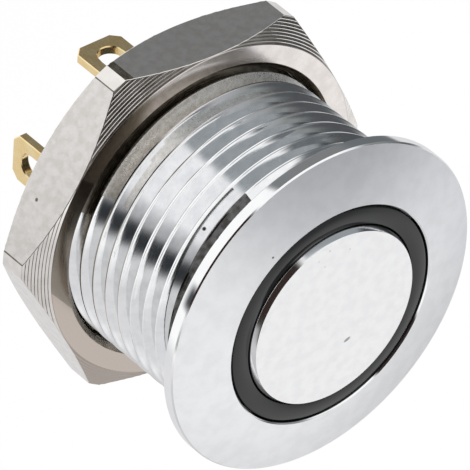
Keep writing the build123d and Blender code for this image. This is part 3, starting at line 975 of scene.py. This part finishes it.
@dataclass
class PanelNut(SubAssembly):
    """Thin hex nut, its corners turned down and its chamfers ringed with tool marks.

    Fields:
        half_flats, turned_r, face_r: half the width across flats, radius of the turned corners,
            and of the flat face.
        front, back, chamfer: heights of the two faces and depth of the chamfers.
        first_flat: angle of one flat's middle, in degrees.
        bore, bore_edge: thread of the bore and radius of its chamfered edge.
        groove, groove_depth, ring: distance, depth and steps of the tool marks, where a step is a
            share of the distance: two lands, then the ledge.
        face_rows: rows over a face.
        flat_columns, strip_columns: points over a flat and over a corner strip.
        broken, broken_drop: width of the broken edge and its height over that width.
        line: width of the narrow columns beside a corner, in degrees.
        marked: angle of the corner that faces left in the photograph.
        marked_half: half the width of a corner's marks, both in degrees.
    """

    half_flats: float = 9.5
    turned_r: float = 10.7495
    face_r: float = 9.47
    front: float = -8.8
    back: float = -11.9
    chamfer: float = 0.8
    first_flat: float = 28.05
    bore: Thread = field(default_factory=lambda: Thread(crest_r=8.34, root_r=8.065, lean=0.0))
    bore_edge: float = 8.44
    groove: float = 0.14
    groove_depth: float = 0.029
    ring: tuple[float, ...] = (0.0, 0.38, 0.71, 0.74, 0.94, 0.97)
    face_rows: int = 5
    flat_columns: int = 58
    strip_columns: int = 4
    broken: float = 0.02
    broken_drop: float = 1.43
    line: float = 0.35
    marked: float = -1.95
    marked_half: float = 31.0

    def angles(self) -> np.ndarray:
        """Angles of the columns: even over each flat, with a narrow one beside every corner.

        Returns:
            Angles in radians over one turn.
        """
        strip = math.degrees(math.acos(self.half_flats / self.turned_r))
        sector = np.concatenate([
            [-strip], np.linspace(self.line - strip, strip - self.line, self.flat_columns),
            np.linspace(strip, 60.0 - strip, self.strip_columns, endpoint=False),
        ])
        middles = self.first_flat + 60.0 * np.arange(6)
        return np.radians((middles[:, None] + sector[None, :]).ravel())

    def reach(self, angles: np.ndarray) -> np.ndarray:
        """Outer radius at each angle: half the flats over the cosine, held at the turned radius.

        Args:
            angles: in radians.

        Returns:
            Radii of the same shape.
        """
        from_flat = np.mod(np.degrees(angles) - self.first_flat + 30.0, 60.0) - 30.0
        return np.minimum(self.half_flats / np.cos(np.radians(from_flat)), self.turned_r)

    def cone(self, reach: np.ndarray) -> tuple[np.ndarray, np.ndarray]:
        """Chamfer from the face to the corners, with its rings of tool marks.

        The radius climbs in small steps and is held at the nut's own reach, and the depth below
        the face grows with it. Each ring is a land along the chamfer, then a level ledge and a
        steep riser on its outer side.

        Args:
            reach: outer radius at each angle.

        Returns:
            Radii and depths below the face, each of shape (rows, columns).
        """
        count = int(round((self.turned_r - self.face_r) / self.groove))
        ring = (np.arange(count)[:, None] + np.array(self.ring)).ravel()
        along = np.append(self.face_r + ring * (self.turned_r - self.face_r) / count,
                          self.turned_r)
        radius = np.minimum(along[:, None], reach[None, :] - self.broken)
        share = (radius - self.face_r) / (self.turned_r - self.face_r)
        wave = np.interp(np.mod(share * count + 1e-6, 1.0), [0.0, 0.73, 0.97, 1.0],
                         [1.0, 1.0, 0.0, 1.0])
        return radius, self.chamfer * share + self.groove_depth * wave

    def mark(self, by_face: np.ndarray, inner: int, cone: int, angles: np.ndarray) -> None:
        """Paints shade into the ring marks round four corners and dark lines onto the edges of two
        flats.

        The sixth flat gets a painted dark reflection line at both ends and the fifth a wider one at
        its far end.

        Args:
            by_face: finish numbers of the faces, shape (rows, columns), changed in place.
            inner: rows of the flat front face.
            cone: rows of the chamfer.
            angles: of the columns, in radians.
        """
        step = np.arange(cone) % len(self.ring)
        lands, ledges = step < 2, step > 2
        # Painted shade in the ring marks of three corners; the fourth corner's chamfer takes the
        # face's finish with its painted shade.
        for turn, rows, finish in ((0.0, ledges, Nut.MARKS), (-120.0, step == 0, Nut.MARKS),
                                   (-60.0, lands, Nut.MARKS), (60.0, step >= 0, Nut.FACE)):
            near = within(angles, self.marked + turn, self.marked_half)
            by_face[np.ix_(inner + np.flatnonzero(rows), near)] = finish
        # Painted dark reflection lines on two flats, in the bore's painted shade finish.
        flats = by_face[inner + cone + 1:inner + cone + 3]
        per_flat = self.flat_columns + self.strip_columns + 1
        last = self.flat_columns
        flats[:, [5 * per_flat, 5 * per_flat + last]] = Nut.BORE
        flats[:, 4 * per_flat + last - 2:4 * per_flat + last + 1] = Nut.BORE

    def surface(self) -> Surface:
        """Whole nut: front face, ringed chamfer, flats and strips, rear chamfer, rear face, bore.

        Returns:
            The closed surface, with the finishes of Nut.
        """
        angles = self.angles()
        reach = self.reach(angles)
        cone_r, cone_z = self.cone(reach)
        inner = np.linspace(self.bore_edge + self.broken, self.face_r - self.broken,
                            self.face_rows)[:, None] + 0 * angles
        drop = cone_z[-1] + self.broken_drop * self.broken
        side = np.linspace(self.front - drop, self.back + drop, 3)
        height, radius, per_pitch = self.bore.rows(self.front, self.back, angles)
        depth = np.minimum(self.front - height, height - self.back)
        radius = np.maximum(radius, self.bore_edge - depth)
        radii = [inner, cone_r, np.broadcast_to(reach, (3, len(reach))), cone_r[::-1],
                 inner[::-1]]
        heights = [self.front + 0 * inner, self.front - cone_z,
                   side, self.back + cone_z[::-1], self.back + 0 * inner]
        # The bore's rows take the painted shade finish.
        by_row = np.repeat(
            [Nut.FACE, Nut.TURNED, Nut.FLAT, Nut.TURNED, Nut.FACE, Nut.BORE],
            [len(inner), len(cone_r) - 1, 4, len(cone_r) - 1, len(inner), len(height) + 1])
        plain = spun(np.vstack(radii), angles, np.vstack(heights))
        bore = spun(radius, angles, height)
        rows, columns = plain.shape[:2]
        numbers = np.arange(rows * columns).reshape(rows, columns)
        numbers = np.column_stack([numbers, numbers[:, :1]])
        helical = Thread.numbers(len(height), columns, per_pitch, rows * columns)[::-1]
        every = np.vstack([numbers, helical, numbers[:1]])
        by_face = np.repeat(by_row[:, None], columns, axis=1)
        strip = (reach > self.turned_r - 1e-6) & (np.roll(reach, -1) > self.turned_r - 1e-6)
        by_face[:, strip] = np.maximum(by_face[:, strip], Nut.TURNED)
        self.mark(by_face, len(inner), len(cone_r) - 1, angles)
        return Surface(np.vstack([plain.reshape(-1, 3), bore.reshape(-1, 3)]),
                       grid_faces(every), by_face.ravel())

    def build(self) -> None:
        """Makes the nut."""
        made = self.finishes
        self.put("hex_nut", self.surface(), Body.NUT, "nut_metal", "panel_nut",
                 [made.nut_flat, made.nut_turned, made.nut_face, made.nut_bore, made.nut_marks],
                 crease=8.0)


@dataclass
class ButtonCap(SubAssembly):
    """Steel cap with a polished edge, a skirt and a stop flange.

    Fields:
        radius, top: radius of the side and height of the face.
        face_r, lean_r, edge_height: where the face ends, the point that the edge is drawn toward,
            and the height of the edge.
        side_z: height of one more row on the side.
        stop_r, stop_top, stop_bottom: radius and heights of the stop flange.
        inner_r, under: radius of the hollow and height of its roof.
        face_steps, edge_steps, columns: points over the face, over the edge and in one turn.
    """

    radius: float = 5.1
    top: float = 1.72
    face_r: float = 4.955
    lean_r: float = 4.965
    edge_height: float = 0.30
    side_z: float = 0.4
    stop_r: float = 5.46
    stop_top: float = -0.62
    stop_bottom: float = -1.22
    inner_r: float = 4.5
    under: float = 0.85
    face_steps: int = 8
    edge_steps: int = 15
    columns: int = 192

    def build(self) -> None:
        """Makes the cap: one profile from the face's middle over the edge to the inside.

        The edge is a curve between the face's end and the side's start, drawn toward a third point
        level with the face: the squares of (1 - t) and t weigh the ends, 2 t (1 - t) the third.
        """
        across = np.linspace(0, self.face_r, self.face_steps)
        face = np.column_stack([across, np.full(self.face_steps, self.top)])
        share = np.linspace(0.0, 1.0, self.edge_steps)[:, None]
        edge = ((1 - share) ** 2 * (self.face_r, self.top)
                + 2 * share * (1 - share) * (self.lean_r, self.top)
                + share**2 * (self.radius, self.top - self.edge_height))
        rest = [(self.radius, self.side_z), (self.radius, self.stop_top),
                (self.stop_r, self.stop_top), (self.stop_r, self.stop_bottom),
                (self.inner_r, self.stop_bottom), (self.inner_r, self.under), (0.0, self.under)]
        profile = np.vstack([face, edge[1:], np.array(rest)])
        finish = np.ones(len(profile) - 1, int)
        finish[:self.face_steps - 1] = 0
        surface = rod(turned(profile, full_turn(self.columns)), finish)
        self.put("satin_cap", surface, Body.BUTTON, "cap_metal", "button_cap",
                 [self.finishes.cap, self.finishes.cap_edge])


@dataclass
class LightRing(SubAssembly):
    """Smoky light guide round the cap, on four feet with a window for each lamp between them.

    Fields:
        inner_r, neck_r, seat_r, tube_r: radii of the bore, of the neck in the flange's window, of
            the seat behind it and of the tube's inside.
        top, neck_foot, seat_row, shoulder, feet: heights of the face, of the neck's foot, of one
            more row on the seat, of the bore's lower end and of the feet.
        window_top, window_half, window_r: upper edge of a lamp window, half its width, and the
            radius at which that is measured.
        edge, inner_edge: size of the broken edges outside and inside.
        window_columns, foot_columns: points over a window and over a foot.
    """

    inner_r: float = 5.18
    neck_r: float = 6.17
    seat_r: float = 6.55
    tube_r: float = 5.54
    top: float = 1.40
    neck_foot: float = 0.53
    seat_row: float = -2.0
    shoulder: float = -0.60
    feet: float = -3.75
    window_top: float = -3.05
    window_half: float = 1.1
    window_r: float = 6.05
    edge: float = 0.17
    inner_edge: float = 0.04
    window_columns: int = 9
    foot_columns: int = 33

    def angles(self) -> tuple[np.ndarray, np.ndarray]:
        """Angles of the columns, doubled at the sides of each lamp window.

        Returns:
            Angles in radians, and which columns are inside a window.
        """
        half = math.degrees(math.atan(self.window_half / self.window_r))
        quarter = np.concatenate([np.linspace(-half, half, self.window_columns),
                                  np.linspace(half, 90.0 - half, self.foot_columns)])
        inside = np.tile(np.arange(len(quarter)) < self.window_columns, 4)
        return np.radians((45.0 + 90.0 * np.arange(4)[:, None] + quarter).ravel()), inside

    def build(self) -> None:
        """Makes the ring; the feet's lower edge rises to the window's top inside a window."""
        angles, inside = self.angles()
        foot = np.where(inside, self.window_top, self.feet)
        edge, inner = self.edge, self.inner_edge
        profile = np.array([
            (self.inner_r, self.top - inner), (self.inner_r + 0.3 * inner, self.top - 0.3 * inner),
            (self.inner_r + inner, self.top), (self.neck_r - edge, self.top),
            (self.neck_r - 0.3 * edge, self.top - 0.3 * edge), (self.neck_r, self.top - edge),
            (self.neck_r, self.neck_foot), (self.seat_r, self.neck_foot),
            (self.seat_r, self.seat_row), (self.seat_r, self.feet), (self.tube_r, self.feet),
            (self.tube_r, self.shoulder), (self.inner_r, self.shoulder)])
        grid = turned(profile, angles)
        grid[profile[:, 1] == self.feet, :, 2] = foot
        self.put("smoky_ring", torus(grid), Body.BODY, "ring_plastic", "light_ring",
                 [self.finishes.smoke])


@dataclass
class ReturnSpring(SubAssembly):
    """Coil spring of round wire with closed, ground ends.

    Fields:
        coil_r, wire_r: radius of the coil's middle line and of the wire.
        turns, bottom, top: number of turns, and heights of the ends.
        stroke: how much the spring shortens; not used.
        wound, climbed: share of the wire, and the share of the height that it has climbed there.
        steps, sides: points along the wire and round it.
    """

    coil_r: float = 2.4
    wire_r: float = 0.2
    turns: float = 5.0
    bottom: float = -4.95
    top: float = -0.25
    stroke: float = 1.3
    wound: tuple[float, ...] = (0.0, 0.15, 0.22, 0.78, 0.85, 1.0)
    climbed: tuple[float, ...] = (0.0, 0.066, 0.12, 0.88, 0.934, 1.0)
    steps: int = 401
    sides: int = 16

    def build(self) -> None:
        """Makes the spring.

        The wire's middle runs round the axis at an even rate and climbs slowly over the first and
        last three quarters of a turn and faster between. The wire is a circle across that path.
        """
        share = np.linspace(0.0, 1.0, self.steps)
        low, high = self.bottom + self.wire_r, self.top - self.wire_r
        climb = np.interp(share, self.wound, self.climbed)
        angle = TURN * self.turns * share
        round_wire = full_turn(self.sides)[:, None]
        radius = self.coil_r + self.wire_r * np.cos(round_wire)
        height = low + (high - low) * climb + self.wire_r * np.sin(round_wire)
        grid = spun(radius, angle, height)
        grid = capped(grid.transpose(1, 0, 2))
        spring = self.put("coil_spring", rod(grid[::-1]), Body.BODY, "spring_steel",
                          "return_spring", [self.finishes.wire], crease=50.0)
        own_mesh(spring)


class LugKind(Enum):
    """What a solder lug does above the base."""

    CONTACT = "bends inward into a contact pad"
    LAMP = "goes on as a narrow riser to the lamp board"


@dataclass
class SolderLugs(SubAssembly):
    """Four gold-plated lugs, each a blade with clipped corners and a solder slot.

    Fields:
        half, thick, middle_r: half the width, thickness, and distance from the axis.
        tip, corner: height of the blade's end and size of its clipped corners.
        slot_z, slot_half, slot_straight: middle of the slot, half its width, and half the length
            of its straight sides.
        edge: size of the broken edges.
        pad_half, pad_shoulder, pad_top, pad_r: half the contact pad's width, heights where it
            starts and ends, and the radius it reaches in to.
        bend, bend_steps: inner radius of the pad's bend, and points over it.
        riser_half, riser_foot, riser_top: half the riser's width and its heights.
        side_steps: points along each side of the outline.
    """

    half: float = 1.4
    thick: float = 0.5
    middle_r: float = 4.69
    tip: float = -17.8
    corner: float = 0.45
    slot_z: float = -16.0
    slot_half: float = 0.7
    slot_straight: float = 0.4
    edge: float = 0.05
    pad_half: float = 1.2
    pad_shoulder: float = -9.42
    pad_top: float = -8.9
    pad_r: float = 2.1
    bend: float = 0.28
    bend_steps: int = 9
    riser_half: float = 0.6
    riser_foot: float = -10.2
    riser_top: float = -3.5
    side_steps: int = 8

    def outline(self, kind: LugKind) -> np.ndarray:
        """Outline of the blade in its own plane, sideways and height, anticlockwise.

        Args:
            kind: of the lug.

        Returns:
            Points of shape (n, 2), closely spaced along each straight side.
        """
        if kind is LugKind.LAMP:
            above = [(self.half, self.riser_foot), (self.riser_half, self.riser_foot),
                     (self.riser_half, self.riser_top)]
        else:
            above = [(self.half, self.pad_shoulder)]
        right = [(self.half - self.corner, self.tip), (self.half, self.tip + self.corner)] + above
        corners = np.array(right + [(-side, height) for side, height in reversed(right)])
        after = np.roll(corners, -1, axis=0)
        share = (np.arange(self.side_steps) / self.side_steps)[:, None, None]
        return (corners + share * (after - corners)).transpose(1, 0, 2).reshape(-1, 2)

    def slot(self, outline: np.ndarray, grow: float) -> np.ndarray:
        """Points of the slot that lie in the same directions from its middle as the outline's.

        A ray meets a straight side at half width over its cosine, or else an end's round, where
        the distance solves the circle about that end's centre.

        Args:
            outline: of the blade.
            grow: how much wider than the slot, for its broken edge.

        Returns:
            Points of the outline's shape.
        """
        ray = outline - np.array([0.0, self.slot_z])
        ray = ray / np.linalg.norm(ray, axis=1, keepdims=True)
        radius = self.slot_half + grow
        side = radius / np.maximum(np.abs(ray[:, 0]), 1e-9)
        over = self.slot_straight * np.abs(ray[:, 1])
        across = self.slot_straight * ray[:, 0]
        end = over + np.sqrt(np.maximum(radius**2 - across**2, 0.0))
        far = np.where(side * np.abs(ray[:, 1]) <= self.slot_straight, side, end)
        return ray * far[:, None] + np.array([0.0, self.slot_z])

    @staticmethod
    def inset(outline: np.ndarray, by: float) -> np.ndarray:
        """Outline moved inward by a distance, along the mitre of its neighbouring sides.

        Args:
            outline: anticlockwise.
            by: distance.

        Returns:
            The moved outline.
        """
        along = np.roll(outline, -1, axis=0) - outline
        along /= np.linalg.norm(along, axis=1, keepdims=True)
        inward = np.column_stack([-along[:, 1], along[:, 0]])
        before = np.roll(inward, 1, axis=0)
        mitre = (inward + before) / (1 + np.sum(inward * before, axis=1, keepdims=True))
        return outline + by * mitre

    def blade(self, kind: LugKind) -> Surface:
        """Flat blade with its slot: eight loops from slot to outline, over the edge and back.

        Args:
            kind: of the lug.

        Returns:
            Closed surface in the lug's own frame: outward, sideways, height.
        """
        outer = self.outline(kind)
        thin, full = self.thick / 2 - self.edge, self.thick / 2
        wide, tight = self.slot(outer, self.edge), self.slot(outer, 0.0)
        small = self.inset(outer, self.edge)
        loops = [(tight, thin), (wide, full), (small, full), (outer, thin), (outer, -thin),
                 (small, -full), (wide, -full), (tight, -thin)]
        grid = np.array([np.column_stack([np.full(len(loop), depth), loop])
                         for loop, depth in loops])
        return torus(grid[:, ::-1])

    def pad(self) -> Surface:
        """Contact pad: a flat section carried up, round a quarter bend and inward.

        The path goes up to the bend, turns through a quarter circle of the bend's radius and runs
        in to the pad's end. A section is a rectangle with broken edges across the path.

        Returns:
            Closed surface in the lug's own frame.
        """
        start = self.pad_top - self.thick / 2 - self.bend
        turn = np.radians(np.linspace(0, 90, self.bend_steps))
        outward = np.concatenate([[0.0], -self.bend * (1 - np.cos(turn)),
                                  [self.pad_r - self.middle_r]])
        height = np.concatenate([[self.pad_shoulder], start + self.bend * np.sin(turn),
                                 [start + self.bend]])
        lean = np.concatenate([[0.0], turn, [math.pi / 2]])
        half, thin, edge = self.pad_half, self.thick / 2, self.edge
        section = np.array([(-half, thin - edge), (-half + edge, thin), (half - edge, thin),
                            (half, thin - edge), (half, edge - thin), (half - edge, -thin),
                            (edge - half, -thin), (-half, edge - thin)])
        side, depth = section[:, 0], section[:, 1]
        grid = np.stack([outward[:, None] + depth * np.cos(lean)[:, None],
                         np.broadcast_to(side, (len(lean), len(side))),
                         height[:, None] + depth * np.sin(lean)[:, None]], axis=-1)
        return rod(capped(grid))

    def build(self) -> None:
        """Makes the four lugs, each turned to its place round the axis."""
        for node, degrees, kind in (("contact_lug_common", -90.0, LugKind.CONTACT),
                                    ("contact_lug_open", 90.0, LugKind.CONTACT),
                                    ("lamp_lug_plus", 0.0, LugKind.LAMP),
                                    ("lamp_lug_minus", 180.0, LugKind.LAMP)):
            parts = [self.blade(kind)] + ([self.pad()] if kind is LugKind.CONTACT else [])
            lug = Surface.joined(parts)
            angle = math.radians(degrees)
            outward, sideways, height = (lug.points + np.array([self.middle_r, 0, 0])).T
            lug.points = np.column_stack([
                outward * math.cos(angle) - sideways * math.sin(angle),
                outward * math.sin(angle) + sideways * math.cos(angle), height])
            self.put("gold_" + node, lug, Body.BODY, "lug_gold", node, [self.finishes.gold])


@dataclass
class Inside(SubAssembly):
    """The CAD nodes that show as they are, with their finishes."""

    def build(self) -> None:
        """Gives each node its material."""
        for name, material in self.finishes.of_node().items():
            for slot in frame["nodes"][name].material_slots:
                slot.material = material
            LOG.info("%s: finish %s", name, material.name)


# Studio


@dataclass(frozen=True)
class Screen:
    """Dark or grey screen in the white tent, as shiny metal sees it.

    Fields:
        azimuth, half: its middle and half its width, in degrees round the axis.
        soft: width of its soft sides, in degrees.
        low, high: from which to which elevation it reaches, in degrees.
        fade: width of its soft lower and upper edges, in degrees.
        colour: what it looks like.
    """

    azimuth: float
    half: float
    soft: float
    low: float
    high: float
    fade: float
    colour: Colour

    def mask(self, pen: Pen, level: object, rise: object) -> bpy.types.NodeSocket:
        """Where the screen is: 1 inside, 0 outside, by azimuth and by elevation.

        Args:
            pen: draws the nodes.
            level: direction of the ray laid flat, of length 1.
            rise: sine of the ray's elevation.

        Returns:
            The mask.
        """
        angle = math.radians(self.azimuth)
        toward = (math.cos(angle), math.sin(angle), 0.0)
        side = pen.node("ShaderNodeVectorMath", {0: level, 1: toward},
                        operation="DOT_PRODUCT").outputs["Value"]

        def cosine(degrees: float) -> float:
            """Cosine of an angle in degrees, held between 0 and 180."""
            return math.cos(math.radians(min(180.0, max(0.0, degrees))))

        def sine(degrees: float) -> float:
            """Sine of an angle in degrees, held between -90 and 90."""
            return math.sin(math.radians(min(90.0, max(-90.0, degrees))))

        near = pen.remap(side, cosine(self.half + self.soft), cosine(self.half - self.soft), 0, 1)
        above = pen.remap(rise, sine(self.low - self.fade), sine(self.low + self.fade), 0, 1)
        masks = [near, above]
        if self.high < 90.0:
            masks.append(pen.remap(rise, sine(self.high - self.fade), sine(self.high + self.fade),
                                   1, 0))
        product = masks[0]
        for other in masks[1:]:
            product = pen.maths("MULTIPLY", product, other)
        return product


@dataclass
class Studio:
    """White table and tent, with a few dark screens that the metal mirrors, and the camera.

    Fields:
        eye: place of the camera, in millimetres.
        turn: its turns about the x, y and z axes, in that order, in degrees.
        lens, sensor: focal length and width of the sensor, in millimetres.
        clip: nearest and farthest distance it sees, in metres.
        floor_z: height of the table, in millimetres.
        floor_half: half the table's width, in metres.
        floor_glow: share of the table's white that hides the shadow from the camera.
        light: strength of the tent.
        lamp_place, lamp_size, lamp_power: of the soft lamp, in metres and watts.
        screens: that the metal mirrors.
    """

    eye: tuple[float, float, float] = (246.343, -296.05783, 277.30296)
    turn: tuple[float, float, float] = (-40.59465, -38.677792, -176.328411)
    lens: float = 737.32
    sensor: float = 36.0
    clip: tuple[float, float] = (0.01, 20.0)
    floor_z: float = -31.95
    floor_half: float = 1.5
    floor_glow: float = 0.95
    light: float = 0.85
    lamp_place: tuple[float, float, float] = (-0.10, 0.12, 0.45)
    lamp_size: float = 0.5
    lamp_power: float = 0.55
    screens: tuple[Screen, ...] = (
        Screen(105, 72, 9, -52, 14, 9, (0.74, 0.74, 0.75)),
        Screen(146, 20, 8, -24, 12, 8, (0.60, 0.60, 0.61)),
        Screen(183, 36, 10, -12, 44, 10, (0.76, 0.77, 0.79)),
        Screen(183, 48, 10, 44, 90, 10, (0.40, 0.41, 0.43)),
        Screen(-52, 44, 6, -33, 16, 4, (0.90, 0.90, 0.91)),
        Screen(60, 50, 8, -24, 28, 6, (0.62, 0.62, 0.625)),
        Screen(62, 22, 8, 28, 60, 6, (0.70, 0.70, 0.71)),
        Screen(-139, 48, 4, -46, -24, 3, (0.20, 0.205, 0.21)),
        Screen(-165, 17, 7, -60, -24, 4, (0.14, 0.155, 0.165)),
        Screen(-96, 7, 4, -45, -20, 3, (0.20, 0.21, 0.22)),
        Screen(-124, 45, 4, -24, 14, 4, (0.31, 0.335, 0.35)),
        Screen(-163, 14, 7, -10, 24, 6, (0.07, 0.075, 0.08)),
        Screen(-172, 24, 8, 14, 52, 8, (0.24, 0.25, 0.25)),
        Screen(-186, 8, 8, 10, 50, 8, (0.08, 0.085, 0.09)),
        Screen(-10, 8, 18, -31, 14, 3, (0.40, 0.405, 0.415)),
        Screen(-6, 5, 8, -33, 14, 6, (0.03, 0.033, 0.036)),
        Screen(-3, 5, 6, -41, -32, 3, (0.06, 0.065, 0.07)),
        Screen(-32, 39, 6, 2, 70, 6, (0.032, 0.021, 0.018)),
        Screen(14, 14, 6, 8, 36, 6, (0.06, 0.055, 0.05)),
        Screen(-85, 85, 7, 64, 90, 7, (0.02, 0.02, 0.02)),
    )

    def camera(self) -> None:
        """Camera at the photograph's place and angle."""
        data = bpy.data.cameras.new("photo_camera")
        data.sensor_width, data.lens = self.sensor, self.lens
        data.sensor_fit = "HORIZONTAL"
        data.clip_start, data.clip_end = self.clip
        eye = bpy.data.objects.new("photo_camera", data)
        turn = Euler([math.radians(angle) for angle in self.turn])
        eye.matrix_world = Matrix.LocRotScale(Vector(self.eye) * MM, turn, None)
        bpy.context.scene.collection.objects.link(eye)
        bpy.context.scene.camera = eye

    def tent(self) -> None:
        """World: plain white to the camera and to matt things, white with screens to shiny ones."""
        world = bpy.data.worlds.new("tent")
        world.use_nodes = True
        bpy.context.scene.world = world
        pen = Pen.on(world.node_tree)
        way = pen.node("ShaderNodeTexCoord").outputs["Generated"]
        rise = pen.node("ShaderNodeSeparateXYZ", {0: way}).outputs[2]
        level = pen.node("ShaderNodeVectorMath", {0: way, 1: (1, 1, 0)}, operation="MULTIPLY")
        level = pen.node("ShaderNodeVectorMath", {0: level.outputs[0]}, operation="NORMALIZE")
        shade: object = (1.0, 1.0, 1.0)
        for screen in self.screens:
            shade = pen.blend(screen.mask(pen, level.outputs[0], rise), shade, screen.colour)
        path = pen.node("ShaderNodeLightPath")
        white = (1.0, 1.0, 1.0, 1.0)
        mirrored = pen.node("ShaderNodeBackground", {0: shade, 1: 1.0}).outputs[0]
        plain = pen.node("ShaderNodeBackground", {0: white, 1: self.light}).outputs[0]
        seen = pen.node("ShaderNodeBackground", {0: white, 1: 1.0}).outputs[0]
        shiny = pen.node("ShaderNodeMixShader",
                         {0: path.outputs["Is Glossy Ray"], 1: plain, 2: mirrored}).outputs[0]
        ends = pen.node("ShaderNodeMixShader",
                        {0: path.outputs["Is Camera Ray"], 1: shiny, 2: seen}).outputs[0]
        pen.node("ShaderNodeOutputWorld", {0: ends})

    def table(self) -> None:
        """White table under the nut's lowest place, with a faint shadow for the camera."""
        mesh = bpy.data.meshes.new("table")
        half, low = self.floor_half, self.floor_z * MM
        mesh.from_pydata([(-half, -half, low), (half, -half, low), (half, half, low),
                          (-half, half, low)], [], [(0, 1, 2, 3)])
        table = bpy.data.objects.new("table", mesh)
        bpy.context.scene.collection.objects.link(table)
        pen = Pen("table_white")
        fibre = pen.noise(0.4, detail=4.0)
        matt = pen.node("ShaderNodeBsdfDiffuse",
                        {0: pen.blend(fibre, (0.97, 0.97, 0.97), (1.0, 1.0, 1.0))})
        glow = pen.node("ShaderNodeEmission", {0: (1, 1, 1, 1), 1: 1.0})
        path = pen.node("ShaderNodeLightPath")
        share = pen.maths("MULTIPLY", path.outputs["Is Camera Ray"], self.floor_glow)
        mix = pen.node("ShaderNodeMixShader", {0: share, 1: matt.outputs[0], 2: glow.outputs[0]})
        pen.tree.links.new(mix.outputs[0], pen.output.inputs[0])
        mesh.materials.append(pen.material)
        table.visible_glossy = False

    def lamp(self) -> None:
        """One large soft lamp over the table."""
        data = bpy.data.lights.new("soft_lamp", "AREA")
        data.shape, data.size = "DISK", self.lamp_size
        data.energy = self.lamp_power
        lamp = bpy.data.objects.new("soft_lamp", data)
        lamp.location = self.lamp_place
        lamp.rotation_euler = lamp.location.to_track_quat("Z", "Y").to_euler()
        lamp.visible_glossy = False
        bpy.context.scene.collection.objects.link(lamp)

    def build(self) -> None:
        """Sets up camera, world, table and lamp."""
        self.camera()
        self.tent()
        self.table()
        self.lamp()
        bpy.context.scene.view_settings.view_transform = "Standard"
        LOG.info("studio ready")


def main() -> None:
    """Builds the studio and every sub-assembly."""
    logging.basicConfig(level=logging.INFO, format="%(name)s: %(message)s")
    Studio().build()
    finishes = Finishes()
    for kind in (Housing, PanelNut, ButtonCap, LightRing, ReturnSpring, SolderLugs, Inside):
        kind(finishes).build()


if __name__ == "__main__":
    main()
